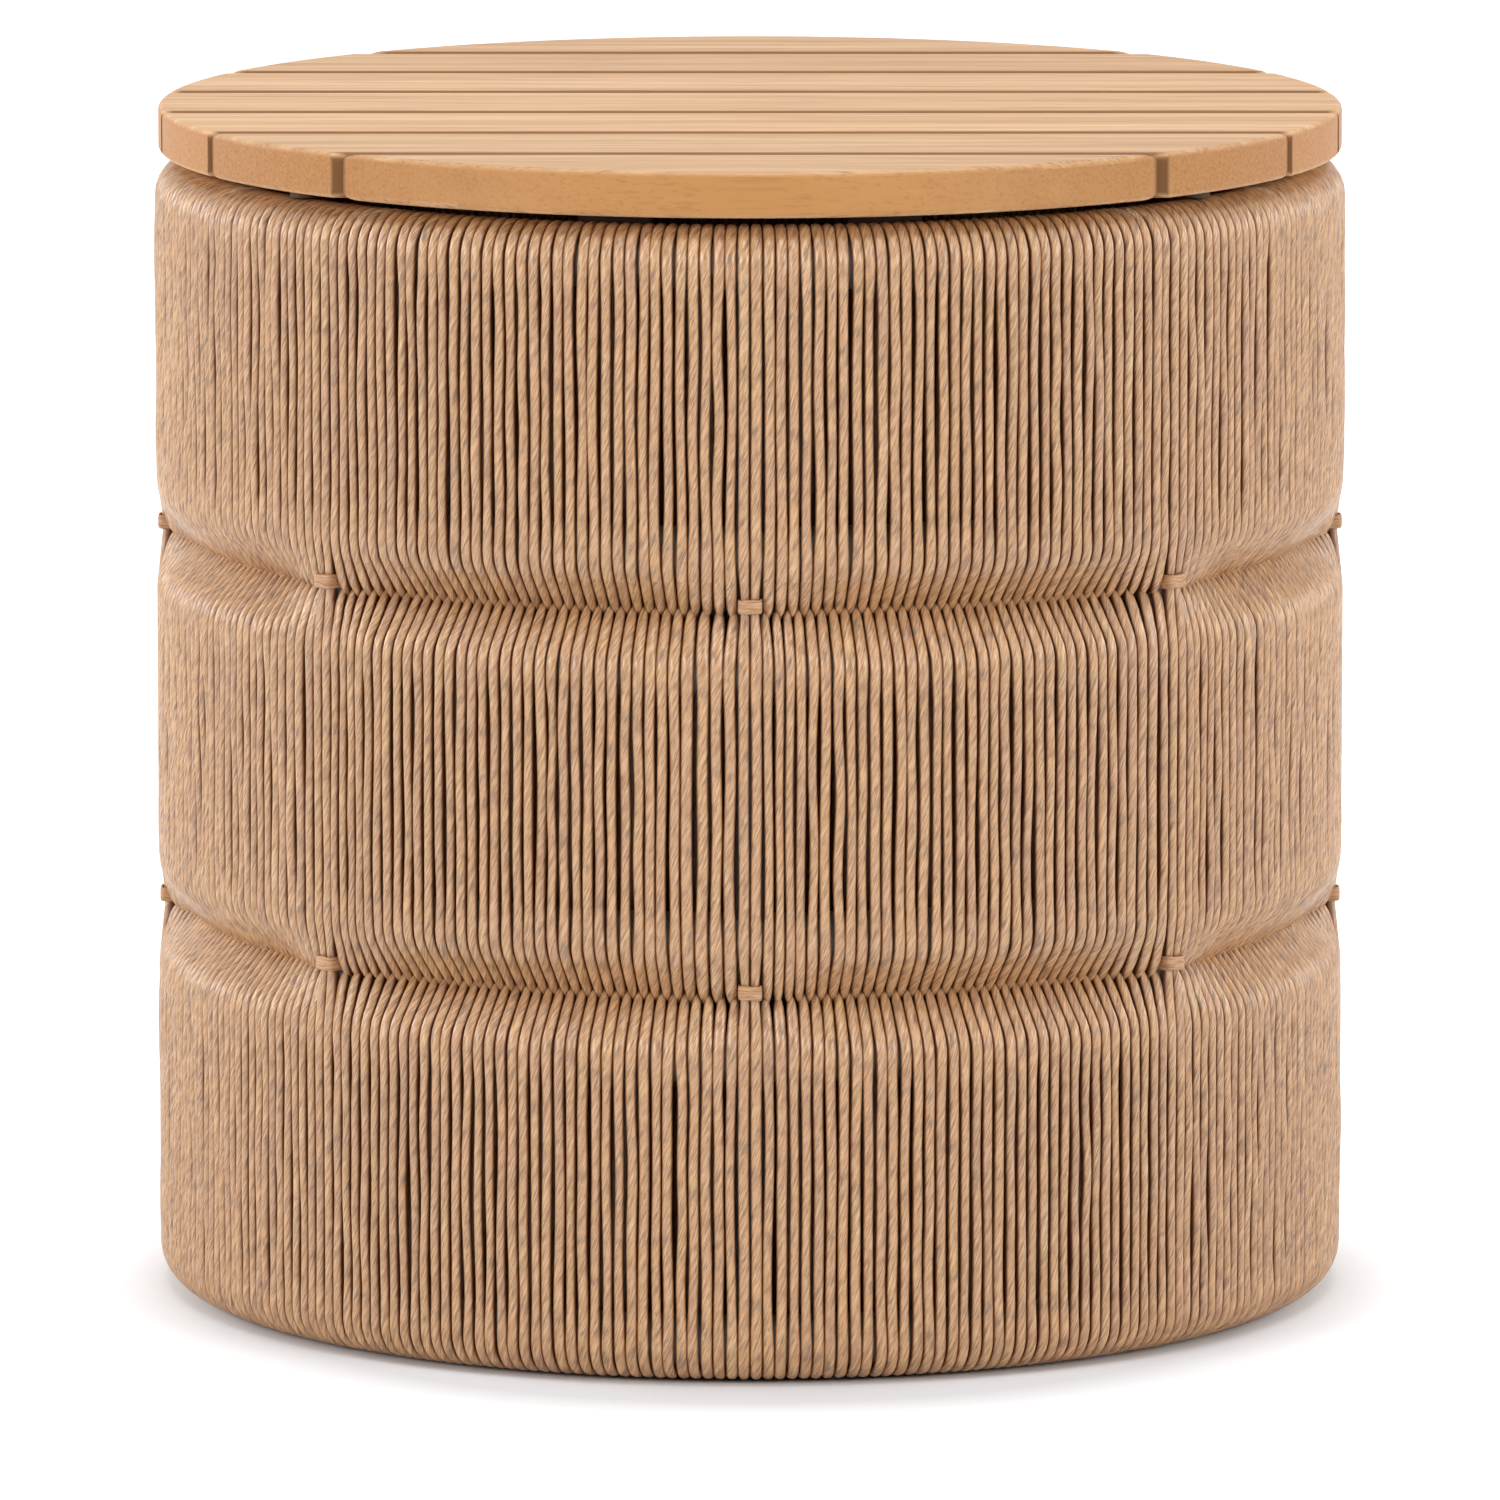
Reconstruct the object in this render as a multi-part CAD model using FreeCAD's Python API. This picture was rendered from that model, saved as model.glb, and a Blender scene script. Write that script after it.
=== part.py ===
import FreeCAD, Part
import math
import os

# Round storage side table: a drum of three cord-wound tiers on a welded
# tube frame, with a slatted wooden lid that lifts off.
# Units are millimetres and degrees. Z is up, the floor is Z = 0 and the
# drum's axis is the Z axis. The slats run along X and one post faces -Y.

# Drum: the overall outside and the three tiers
drum_radius = 250.0
tier_height = 159.0
ground_clearance = 0.5
cord_diameter = 4.8
cord_slack = 0.25
seam_gap = 0.3
cords_per_bay = 38
cord_groove_width = 1.0
cord_groove_depth = 1.8

# Welded frame: tube sizes and places
hoop_tube = 22.0
post_tube = 16.0
tube_wall = 1.5
waist_ring_rod = 10.0
waist_half_height = 24.0
post_count = 8
weld_gap = 0.1

# Ties that bind a pair of cords across each waist at every post
tied_pair_width = 7.5
tie_height = 6.0
tie_rise = 4.0
tie_thickness = 1.2
tie_fit = 0.15
strut_notch_clearance = 0.5
flank_overlap = 1.0

# Storage floor at the lower waist
floor_bar_width = 20.0
floor_bar_thickness = 6.0
floor_bar_offset = 100.0
bar_notch_clearance = 0.4
floor_thickness = 6.0
floor_edge_gap = 1.0
drain_hole = 12.0
drain_circle_radius = 60.0
drain_count = 6
floor_screw_spacing = 240.0

# Levelling feet on plates inside the bottom hoop
foot_count = 4
foot_plate_width = 26.0
foot_plate_thickness = 5.0
foot_inset = 14.0
foot_plate_margin = 13.0
foot_head_diameter = 24.0
foot_head_height = 6.0
foot_collar_diameter = 13.0
foot_stem_diameter = 8.0
foot_stem_rise = 8.0
foot_edge_round = 1.5
foot_stem_fit = 0.2

# Lid: slats, battens, screws and bumpers
lid_inset = 1.8
lid_gap = 3.5
slat_count = 7
slat_gap = 4.0
outer_slat_trim = 5.3
slat_thickness = 19.0
slat_edge_round = 4.0
lid_rim_round = 2.5
batten_width = 30.0
batten_thickness = 18.0
batten_offset = 55.0
batten_edge_round = 2.0
batten_play = 3.0
bumper_diameter = 12.0
bumper_clearance = 0.3
bumper_slat = 2

# Countersunk screws
screw_shank = 4.0
screw_head = 8.0
screw_head_depth = 2.4
screw_bite = 12.0
screw_fit = 0.1
screw_pair_spacing = 40.0
end_screw_inset = 10.0

# Sizes that follow from the driving dimensions
hoop_radius = hoop_tube / 2
post_radius = post_tube / 2
waist_ring_radius = waist_ring_rod / 2
corner_radius = hoop_radius + cord_slack + cord_diameter
frame_circle = drum_radius - corner_radius
waist_circle = frame_circle - post_radius - weld_gap - waist_ring_radius
drum_bottom = ground_clearance
drum_top = drum_bottom + 3 * tier_height
lower_waist = drum_bottom + tier_height
upper_waist = drum_bottom + 2 * tier_height
bottom_hoop_z = drum_bottom + corner_radius
top_hoop_z = drum_top - corner_radius
opening_radius = frame_circle - corner_radius
lid_radius = drum_radius - lid_inset
slat_width = (2 * (lid_radius + outer_slat_trim) - (slat_count - 1) * slat_gap) / slat_count
slat_pitch = slat_width + slat_gap
well_radius = waist_circle - waist_ring_radius - cord_slack - cord_diameter
post_angles = [-90 + 360 / post_count * k for k in range(post_count)]
foot_angles = [-45 + 360 / foot_count * k for k in range(foot_count)]
origin = FreeCAD.Vector(0, 0, 0)
up = FreeCAD.Vector(0, 0, 1)


def at(x, y, z):
    return FreeCAD.Vector(x, y, z)


def save(name, solids):
    shape = solids[0] if len(solids) == 1 else Part.makeCompound(solids)
    shape.exportStep("parts/" + name + ".step")


def turned(shape, angles):
    """Copies of a shape that was made on the +X side, at these angles."""
    copies = []
    for angle in angles:
        copy = shape.copy()
        copy.rotate(origin, up, angle)
        copies.append(copy)
    return copies


def cylinder(radius, low, high, x=0.0, y=0.0):
    return Part.makeCylinder(radius, high - low, at(x, y, low), up)


def box(x0, x1, y0, y1, z0, z1):
    return Part.makeBox(x1 - x0, y1 - y0, z1 - z0, at(x0, y0, z0))


def hoop(circle, height, rod_radius):
    return Part.makeTorus(circle, rod_radius, at(0, 0, height), up)


def belt(pulleys, offset):
    """Face inside a taut belt round pulleys (radius from the axis, height, size),
    listed anticlockwise in the half plane Y = 0, each enlarged by the offset."""
    runs = []
    for index, (r0, z0, size0) in enumerate(pulleys):
        r1, z1, size1 = pulleys[(index + 1) % len(pulleys)]
        length = math.hypot(r1 - r0, z1 - z0)
        along_r = (r1 - r0) / length
        along_z = (z1 - z0) / length
        lean = (size0 - size1) / length
        out = math.sqrt(1 - lean * lean)
        normal_r = along_z * out + along_r * lean
        normal_z = -along_r * out + along_z * lean
        reach0 = size0 + offset
        reach1 = size1 + offset
        start = (r0 + reach0 * normal_r, z0 + reach0 * normal_z)
        end = (r1 + reach1 * normal_r, z1 + reach1 * normal_z)
        runs.append((start, end, math.atan2(normal_z, normal_r)))
    edges = []
    for index, (r0, z0, size0) in enumerate(pulleys):
        before = runs[index - 1]
        after = runs[index]
        sweep = (after[2] - before[2]) % (2 * math.pi)
        middle = before[2] + sweep / 2
        reach = size0 + offset
        top = (r0 + reach * math.cos(middle), z0 + reach * math.sin(middle))
        start = at(after[0][0], 0, after[0][1])
        end = at(after[1][0], 0, after[1][1])
        arc = Part.Arc(at(before[1][0], 0, before[1][1]), at(top[0], 0, top[1]), start)
        edges.append(arc.toShape())
        edges.append(Part.makeLine(start, end))
    return Part.Face(Part.Wire(edges))


def window(inner, outer, low, high):
    """Face of the half plane Y = 0 between two radii and two heights."""
    return Part.Face(Part.makePolygon([
        at(inner, 0, low), at(outer, 0, low), at(outer, 0, high), at(inner, 0, high), at(inner, 0, low)]))


def cord_layer(pulleys, inner, outer, low, high):
    """Faces of the one-cord-thick layer round the pulleys, kept between two
    radii and two heights."""
    layer = belt(pulleys, cord_slack + cord_diameter).cut(belt(pulleys, cord_slack))
    return layer.common(window(inner, outer, low, high)).Faces


def swept(face, start, turn):
    """A face of the half plane Y = 0 turned about the drum's axis."""
    copy = face.copy()
    copy.rotate(origin, up, start)
    return copy.revolve(origin, up, turn)


def screw(x, y, head_z, length, direction, grow):
    """Countersunk screw whose flat head lies at head_z, or its hole."""
    shank = screw_shank / 2 + grow
    head = screw_head / 2 + grow
    axis = at(0, 0, direction)
    body = Part.makeCylinder(shank, length + grow, at(x, y, head_z), axis)
    cone = Part.makeCone(head, shank, screw_head_depth, at(x, y, head_z), axis)
    return body.fuse(cone)


# Frame hoops: one at each corner of each tier, and a thin ring inside each waist
corner_hoops = {
    "top_hoop": top_hoop_z,
    "upper_tier_lower_hoop": upper_waist + waist_half_height,
    "middle_tier_upper_hoop": upper_waist - waist_half_height,
    "middle_tier_lower_hoop": lower_waist + waist_half_height,
    "lower_tier_upper_hoop": lower_waist - waist_half_height,
    "bottom_hoop": bottom_hoop_z,
}
for name, height in corner_hoops.items():
    tube = hoop(frame_circle, height, hoop_radius)
    save(name, [tube.cut(hoop(frame_circle, height, hoop_radius - tube_wall))])
save("upper_waist_ring", [hoop(waist_circle, upper_waist, waist_ring_radius)])
save("lower_waist_ring", [hoop(waist_circle, lower_waist, waist_ring_radius)])


def post_row(low, high):
    """Tubes between two hoops, their ends coped to the hoops they are welded to."""
    post = cylinder(post_radius, low, high, x=frame_circle)
    post = post.cut(cylinder(post_radius - tube_wall, low, high, x=frame_circle))
    for height in (low, high):
        post = post.cut(hoop(frame_circle, height, hoop_radius + weld_gap))
    return turned(post, post_angles)


hoops_upwards = sorted(corner_hoops.values())
row_names = ("lower_posts", "lower_waist_struts", "middle_posts", "upper_waist_struts", "upper_posts")
for name, low, high in zip(row_names, hoops_upwards, hoops_upwards[1:]):
    save(name, post_row(low, high))

# Storage floor: two bars welded to the lower waist ring carry a drained panel
floor_bottom = lower_waist + floor_bar_thickness / 2
floor_top = floor_bottom + floor_thickness
bar_bottom = lower_waist - floor_bar_thickness / 2
ring_weld = hoop(waist_circle, lower_waist, waist_ring_radius + weld_gap)
floor_screw_places = []
for side in (-1, 1):
    for end in (-1, 1):
        floor_screw_places.append((end * floor_screw_spacing / 2, side * floor_bar_offset))


def floor_screw(grow):
    length = floor_thickness + floor_bar_thickness
    return [screw(x, y, floor_top, length, -1, grow) for x, y in floor_screw_places]


def floor_bar(side, grow):
    half = floor_bar_width / 2 + grow
    centre = side * floor_bar_offset
    return box(-drum_radius, drum_radius, centre - half, centre + half,
               bar_bottom - grow, floor_bottom + grow)


bar_limit = cylinder(waist_circle, bar_bottom, floor_bottom)
floor_holes = Part.makeCompound(floor_screw(screw_fit))
for side, name in ((-1, "front_floor_bar"), (1, "rear_floor_bar")):
    save(name, [floor_bar(side, 0).common(bar_limit).cut(ring_weld).cut(floor_holes)])
panel = cylinder(well_radius - floor_edge_gap, floor_bottom, floor_top)
drain = cylinder(drain_hole / 2, floor_bottom, floor_top, x=drain_circle_radius)
drain_angles = [360 / drain_count * k for k in range(drain_count)]
save("floor_panel", [panel.cut(turned(drain, drain_angles)).cut(floor_holes)])
save("floor_panel_screws", floor_screw(0))

# Feet: plates welded inside the bottom hoop, with a levelling foot under each
plate_bottom = bottom_hoop_z - foot_plate_thickness / 2
plate_top = bottom_hoop_z + foot_plate_thickness / 2
foot_circle = opening_radius - foot_inset


def foot_plate(inner, grow):
    half = foot_plate_width / 2 + grow
    return box(inner, frame_circle, -half, half, plate_bottom - grow, plate_top + grow)


plate = foot_plate(foot_circle - foot_plate_margin, 0)
plate = plate.cut(hoop(frame_circle, bottom_hoop_z, hoop_radius + weld_gap))
plate = plate.cut(cylinder(foot_stem_diameter / 2 + foot_stem_fit, plate_bottom, plate_top, x=foot_circle))
save("foot_plates", turned(plate, foot_angles))
foot_head = cylinder(foot_head_diameter / 2, 0, foot_head_height, x=foot_circle)
foot_head = foot_head.makeFillet(foot_edge_round, foot_head.Edges)
foot_collar = cylinder(foot_collar_diameter / 2, 0, plate_bottom, x=foot_circle)
foot_stem = cylinder(foot_stem_diameter / 2, 0, plate_top + foot_stem_rise, x=foot_circle)
foot = foot_head.fuse([foot_collar, foot_stem]).removeSplitter()
save("levelling_feet", turned(foot, foot_angles))

# Cord winding: each tier is wound round its own hoops and the waist ring beside
# it, so a tier has an outer run and an inner run with the frame between them
upper_ring = (waist_circle, upper_waist, waist_ring_radius)
lower_ring = (waist_circle, lower_waist, waist_ring_radius)
pulley = {name: (frame_circle, height, hoop_radius) for name, height in corner_hoops.items()}
inner_limit = well_radius - corner_radius
outer_limit = drum_radius + corner_radius
above_upper_waist = upper_waist + seam_gap / 2
below_upper_waist = upper_waist - seam_gap / 2
above_lower_waist = lower_waist + seam_gap / 2
below_lower_waist = lower_waist - seam_gap / 2

# Where a strut crosses a waist the slanting layer is notched, and cords run straight
# across from hoop to hoop: a tied pair, and one more on each side of the tie
cope_height = math.sqrt(hoop_radius ** 2 - post_radius ** 2)
notch_height = waist_half_height - cope_height + strut_notch_clearance
notch_half_width = post_radius + strut_notch_clearance
strut_face = frame_circle + post_radius
pair_face_half = tied_pair_width / 2 + tie_fit
tie_half = pair_face_half + tie_thickness
half_bay = 180 / post_count
cord_angle = 2 * half_bay / cords_per_bay
groove_angle = math.degrees(cord_groove_width / drum_radius)
pair_edge = math.degrees(math.asin(tied_pair_width / 2 / drum_radius))
flank_start = math.degrees(math.asin((tie_half + tie_fit) / strut_face))
flank_end = math.degrees(math.asin((notch_half_width + flank_overlap) / strut_face))


def strut_notch(waist):
    return box(waist_circle, outer_limit, -notch_half_width, notch_half_width,
               waist - notch_height, waist + notch_height)


def bridge(waist, hoop_name, low, high):
    """Face of the cords that run straight from a hoop past the strut."""
    strut = (frame_circle, waist, post_radius)
    ends = [strut, pulley[hoop_name]]
    if ends[1][1] < waist:
        ends.reverse()
    return cord_layer(ends, frame_circle, outer_limit, low, high)[0]


def cord_grooves(pulleys, start):
    """Grooves between the cords of half a bay, over the outer half of the winding."""
    depth = cord_slack + cord_diameter - cord_groove_depth
    band = belt(pulleys, depth + 2 * cord_groove_depth).cut(belt(pulleys, depth))
    outer_half = window(frame_circle, outer_limit, drum_bottom - corner_radius, drum_top + corner_radius)
    face = band.common(outer_half).Faces[0]
    steps = range(cords_per_bay // 2 + 1)
    return [swept(face, start + step * cord_angle - groove_angle / 2, groove_angle) for step in steps]


def wound_panels(pulleys, face, notches, bridges):
    """Panels of a winding, one on each side of every post. Each runs to the middle of
    its bay and has one cord of the tied pair and one beside the tie at the post."""
    panels = []
    for side in (-1, 1):
        panel = swept(face, min(0, side * half_bay), half_bay)
        if bridges:
            cords = []
            for near, far in ((0, pair_edge), (flank_start, flank_end)):
                cords += [swept(cord, min(side * near, side * far), far - near) for cord in bridges]
            panel = panel.cut(notches).fuse(cords).removeSplitter()
            panel = panel.cut(cord_grooves(pulleys, min(0, side * half_bay)))
        panels += turned(panel.Solids[0], post_angles)
    return panels


lining_limit = cylinder(waist_circle, bar_bottom - bar_notch_clearance, floor_bottom + bar_notch_clearance)
bar_notches = [floor_bar(side, bar_notch_clearance).common(lining_limit) for side in (-1, 1)]
plate_notches = turned(foot_plate(foot_circle, bar_notch_clearance), foot_angles)

upper_pulleys = [pulley["upper_tier_lower_hoop"], pulley["top_hoop"], upper_ring]
upper_face = cord_layer(
    upper_pulleys, inner_limit, outer_limit, above_upper_waist, drum_top + corner_radius)[0]
upper_bridge = bridge(
    upper_waist, "upper_tier_lower_hoop", above_upper_waist, corner_hoops["upper_tier_lower_hoop"])
save("upper_wrap", wound_panels(upper_pulleys, upper_face, [strut_notch(upper_waist)], [upper_bridge]))

middle_pulleys = [lower_ring, pulley["middle_tier_lower_hoop"], pulley["middle_tier_upper_hoop"], upper_ring]
middle_faces = cord_layer(middle_pulleys, inner_limit, outer_limit, above_lower_waist, below_upper_waist)
lining_face, middle_face = sorted(middle_faces, key=lambda face: face.CenterOfMass.x)
middle_bridges = [
    bridge(upper_waist, "middle_tier_upper_hoop", corner_hoops["middle_tier_upper_hoop"], below_upper_waist),
    bridge(lower_waist, "middle_tier_lower_hoop", above_lower_waist, corner_hoops["middle_tier_lower_hoop"]),
]
middle_notches = [strut_notch(upper_waist), strut_notch(lower_waist)]
save("middle_wrap", wound_panels(middle_pulleys, middle_face, middle_notches, middle_bridges))
lining_panels = wound_panels(middle_pulleys, lining_face, [], [])
save("middle_wrap_lining", [panel.cut(bar_notches).Solids[0] for panel in lining_panels])

lower_pulleys = [lower_ring, pulley["bottom_hoop"], pulley["lower_tier_upper_hoop"]]
lower_face = cord_layer(
    lower_pulleys, inner_limit, outer_limit, drum_bottom - corner_radius, below_lower_waist)[0]
lower_bridge = bridge(
    lower_waist, "lower_tier_upper_hoop", corner_hoops["lower_tier_upper_hoop"], below_lower_waist)
lower_panels = wound_panels(lower_pulleys, lower_face, [strut_notch(lower_waist)], [lower_bridge])
save("lower_wrap", [panel.cut(bar_notches + plate_notches).Solids[0] for panel in lower_panels])

# Ties: a flat band of cord over each pair, its ends tucked against the strut
pair_lean = math.asin((hoop_radius - post_radius) / waist_half_height)
pair_reach = (post_radius + cord_slack + cord_diameter) / math.cos(pair_lean)
tie_inner_face = frame_circle + pair_reach + (tie_rise + tie_height / 2) * math.tan(pair_lean) + tie_fit
tie_end = frame_circle + math.sqrt(post_radius ** 2 - pair_face_half ** 2) + tie_fit


def ties(waist):
    low = waist + tie_rise - tie_height / 2
    high = low + tie_height
    band = box(tie_end, tie_inner_face + tie_thickness, -tie_half, tie_half, low, high)
    corners = [edge for edge in band.Edges
               if edge.Length > tie_height - tie_fit and abs(edge.tangentAt(0).z) > 0.9
               and edge.CenterOfMass.x > tie_inner_face]
    band = band.makeFillet(tie_thickness, corners)
    band = band.cut(box(tie_end, tie_inner_face, -pair_face_half, pair_face_half, low, high))
    return turned(band, post_angles)


save("upper_waist_ties", ties(upper_waist))
save("lower_waist_ties", ties(lower_waist))

# Lid: round-edged slats along X, cut to a disc, on two battens along Y
lid_bottom = drum_top + lid_gap
lid_top = lid_bottom + slat_thickness
batten_bottom = lid_bottom - batten_thickness
batten_reach = opening_radius - batten_play
slat_numbers = range(-(slat_count // 2), slat_count // 2 + 1)
disc = cylinder(lid_radius, lid_bottom, lid_top)
disc = disc.makeFillet(lid_rim_round, [edge for edge in disc.Edges if edge.Closed])
outer_slat_edge = (slat_count // 2) * slat_pitch - slat_width / 2
screw_rows = [-(outer_slat_edge + end_screw_inset), outer_slat_edge + end_screw_inset]
for number in slat_numbers:
    if abs(number) < slat_count // 2:
        screw_rows.append(number * slat_pitch - screw_pair_spacing / 2)
        screw_rows.append(number * slat_pitch + screw_pair_spacing / 2)


def batten_screws(grow):
    length = batten_thickness + screw_bite
    return [screw(side * batten_offset, row, batten_bottom, length, 1, grow)
            for side in (-1, 1) for row in screw_rows]


batten_holes = Part.makeCompound(batten_screws(screw_fit))
for number in slat_numbers:
    centre = number * slat_pitch
    bar = box(-drum_radius, drum_radius, centre - slat_width / 2, centre + slat_width / 2,
              lid_bottom, lid_top)
    bar = bar.makeFillet(slat_edge_round, [edge for edge in bar.Edges if abs(edge.tangentAt(0).x) > 0.9])
    slat = bar.common(disc).cut(batten_holes)
    save("lid_slat_%d" % (number + slat_count // 2 + 1), slat.Solids)

batten_limit = cylinder(batten_reach, batten_bottom, lid_bottom)
for side, name in ((-1, "lid_batten_left"), (1, "lid_batten_right")):
    centre = side * batten_offset
    batten = box(centre - batten_width / 2, centre + batten_width / 2, -drum_radius, drum_radius,
                 batten_bottom, lid_bottom)
    lower_edges = [edge for edge in batten.Edges
                   if abs(edge.tangentAt(0).y) > 0.9 and edge.CenterOfMass.z < lid_bottom - batten_edge_round]
    batten = batten.makeFillet(batten_edge_round, lower_edges)
    save(name, [batten.common(batten_limit).cut(batten_holes)])
save("batten_screws", batten_screws(0))

# Bumpers under the lid that land on the top of the cord winding
bumper_y = bumper_slat * slat_pitch
bumper_x = math.sqrt(frame_circle ** 2 - bumper_y ** 2)
bumper_bottom = drum_top + bumper_clearance
bumpers = [cylinder(bumper_diameter / 2, bumper_bottom, lid_bottom, x, y)
           for x in (-bumper_x, bumper_x) for y in (-bumper_y, bumper_y)]
save("lid_bumpers", bumpers)
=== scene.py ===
import math
import random

import bpy
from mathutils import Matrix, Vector


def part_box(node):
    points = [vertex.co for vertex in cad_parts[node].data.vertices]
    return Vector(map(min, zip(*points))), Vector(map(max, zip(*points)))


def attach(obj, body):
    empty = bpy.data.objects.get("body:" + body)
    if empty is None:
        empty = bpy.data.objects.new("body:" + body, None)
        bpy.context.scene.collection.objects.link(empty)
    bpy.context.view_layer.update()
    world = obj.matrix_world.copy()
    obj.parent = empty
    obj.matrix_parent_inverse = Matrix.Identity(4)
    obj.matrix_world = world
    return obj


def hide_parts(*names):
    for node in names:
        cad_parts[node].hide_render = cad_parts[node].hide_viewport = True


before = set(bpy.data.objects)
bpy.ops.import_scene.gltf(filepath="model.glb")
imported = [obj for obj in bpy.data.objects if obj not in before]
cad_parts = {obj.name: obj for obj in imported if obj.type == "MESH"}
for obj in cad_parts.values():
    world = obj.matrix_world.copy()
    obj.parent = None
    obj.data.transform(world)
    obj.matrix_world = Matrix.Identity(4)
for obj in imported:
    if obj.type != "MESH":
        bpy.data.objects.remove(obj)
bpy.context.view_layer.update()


# Frame: six hoops, posts and waist struts of bent and coped aluminium tube, rod rings inside
# the waists, flat floor bars and foot plates. It is welded up and powder coated before
# winding, and the cord hides all of it but glimpses beside the ties.
MM = 0.001


def linear(hex_colour):
    """An sRGB hex colour as linear RGBA."""
    channels = [int(hex_colour[i:i + 2], 16) / 255 for i in (1, 3, 5)]
    return [c / 12.92 if c <= 0.04045 else ((c + 0.055) / 1.055) ** 2.4 for c in channels] + [1.0]


def add(tree, kind, settings=None, **links):
    """Adds a node. Settings are its colour stops, its own properties or, by name or number,
    its inputs' values, and links are inputs fed by other nodes' sockets."""
    node = tree.nodes.new("ShaderNode" + kind)
    for key, value in (settings or {}).items():
        if key == "stops":
            elements = node.color_ramp.elements
            while len(elements) < len(value):
                elements.new(0.5)
            for element, (position, colour) in zip(elements, value):
                element.position = position
                element.color = linear(colour)
        elif isinstance(key, int) or key in node.inputs:
            node.inputs[key].default_value = value
        else:
            setattr(node, key, value)
    for key, socket in links.items():
        name = int(key[1:]) if key[0] == "_" else key.replace("_", " ")
        tree.links.new(socket, node.inputs[name])
    return node


def blank_material(name):
    """A named material with one Principled shader wired to its output."""
    material = bpy.data.materials.new(name)
    material.use_nodes = True
    tree = material.node_tree
    tree.nodes.clear()
    shader = add(tree, "BsdfPrincipled")
    tree.links.new(shader.outputs["BSDF"], add(tree, "OutputMaterial").inputs["Surface"])
    return material, tree, shader


def finish_nodes(material, *names):
    """Gives solids of the frame their finish."""
    for name in names:
        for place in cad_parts[name].material_slots:
            place.material = material


# Baked polyester powder: satin pale grey, rippled like orange peel about 1.5 mm across,
# a little cloudy over a hand's breadth
powder_coat, tree, shader = blank_material("powder_coated_aluminium")
spot = add(tree, "TexCoord").outputs["Object"]
peel = add(tree, "TexNoise", {"Scale": 1 / (1.5 * MM), "Detail": 2.0}, Vector=spot)
cloud = add(tree, "TexNoise", {"Scale": 1 / (60 * MM), "Detail": 3.0}, Vector=spot)
grey = add(tree, "ValToRGB", {"stops": [(0.35, "#8d8a84"), (0.65, "#a3a09a")]}, _0=cloud.outputs["Fac"])
ripple = add(tree, "Bump", {"Strength": 0.3, "Distance": 0.1 * MM}, Height=peel.outputs["Fac"])
tree.links.new(grey.outputs["Color"], shader.inputs["Base Color"])
tree.links.new(ripple.outputs["Normal"], shader.inputs["Normal"])
shader.inputs["Roughness"].default_value = 0.42
finish_nodes(powder_coat, "top_hoop", "upper_tier_lower_hoop", "middle_tier_upper_hoop",
             "middle_tier_lower_hoop", "lower_tier_upper_hoop", "bottom_hoop", "upper_waist_ring",
             "lower_waist_ring", "upper_posts", "upper_waist_struts", "middle_posts",
             "lower_waist_struts", "lower_posts", "front_floor_bar", "rear_floor_bar", "foot_plates")


# Levelling feet: moulded nylon discs on threaded studs, screwed into the foot plates so
# that the drum can be set level.
# Moulded black nylon: dull, with a spark-eroded texture drawn at 0.8 mm so that it shows
nylon, tree, shader = blank_material("moulded_nylon")
spot = add(tree, "TexCoord").outputs["Object"]
grain = add(tree, "TexNoise", {"Scale": 1 / (0.8 * MM), "Detail": 2.0}, Vector=spot)
black = add(tree, "ValToRGB", {"stops": [(0.3, "#1d1d1e"), (0.7, "#2b2b2c")]}, _0=grain.outputs["Fac"])
stipple = add(tree, "Bump", {"Strength": 0.25, "Distance": 0.1 * MM}, Height=grain.outputs["Fac"])
tree.links.new(black.outputs["Color"], shader.inputs["Base Color"])
tree.links.new(stipple.outputs["Normal"], shader.inputs["Normal"])
shader.inputs["Roughness"].default_value = 0.55
finish_nodes(nylon, "levelling_feet")


# Cord winding of the three tiers. The real cord is a strip of brown paper-look
# polyethylene twisted into a 5 mm line, wound by hand round each tier's hoops and
# the ring inside the waist, so every turn has an outer and an inner run.
CORD_DIAMETER = 4.8 * MM
CORD_GIRTH = 15 * MM
CORD_SLACK = 0.25 * MM
TWIST_PITCH = 36 * MM
BAYS = 8
CORDS_PER_BAY = 38


def hoop_of(node):
    """A hoop's centre circle, height and rod radius, from its box."""
    low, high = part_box(node)
    rod = (high[2] - low[2]) / 2
    return (high[0] - low[0]) / 2 - rod, (low[2] + high[2]) / 2, rod


top_hoop = hoop_of("top_hoop")
upper_low_hoop = hoop_of("upper_tier_lower_hoop")
middle_high_hoop = hoop_of("middle_tier_upper_hoop")
middle_low_hoop = hoop_of("middle_tier_lower_hoop")
lower_high_hoop = hoop_of("lower_tier_upper_hoop")
bottom_hoop = hoop_of("bottom_hoop")
upper_ring = hoop_of("upper_waist_ring")
lower_ring = hoop_of("lower_waist_ring")
frame_circle = top_hoop[0]
strut_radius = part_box("upper_waist_struts")[1][0] - frame_circle
tie_low, tie_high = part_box("upper_waist_ties")
tie_rise = (tie_low[2] + tie_high[2]) / 2 - upper_ring[1]
tie_half_height = (tie_high[2] - tie_low[2]) / 2
upper_strut = (frame_circle, upper_ring[1] + tie_rise, strut_radius)
lower_strut = (frame_circle, lower_ring[1] + tie_rise, strut_radius)
bay_angle = math.tau / BAYS
cord_step = bay_angle / CORDS_PER_BAY
chance = random.Random(41)

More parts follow.
